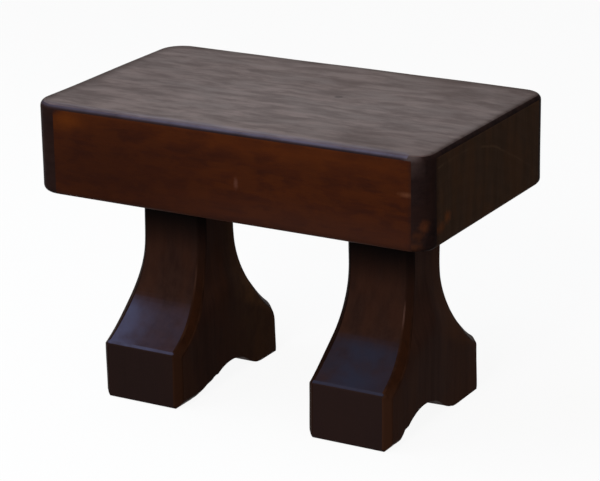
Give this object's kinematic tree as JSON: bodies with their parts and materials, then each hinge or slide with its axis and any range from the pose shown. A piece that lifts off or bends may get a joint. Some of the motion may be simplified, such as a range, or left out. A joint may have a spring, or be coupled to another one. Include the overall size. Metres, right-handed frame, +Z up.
{
  "type": "shoe fitting stool",
  "caption": "Low wooden shoe fitting stool: a thick one-piece slab seat on two sawn pedestal legs with hollowed waists and an arch under each foot.",
  "frame": {"origin": "on the floor, under the middle of the seat", "axes": "+X along the seat's length to the right, +Y to the back, +Z up"},
  "size_m": [0.42, 0.254, 0.298],
  "materials": {
    "seat_wood": "dark red-brown stained and waxed hardwood, worn",
    "leg_wood": "darker brown stained and waxed hardwood, worn edges",
    "dowel_wood": "bare pale hardwood dowel"
  },
  "bodies": {
    "root": {"seat_slab": "seat_wood", "left_leg": "leg_wood", "right_leg": "leg_wood", "left_leg_dowels": "dowel_wood", "right_leg_dowels": "dowel_wood"}
  },
  "joints": []
}
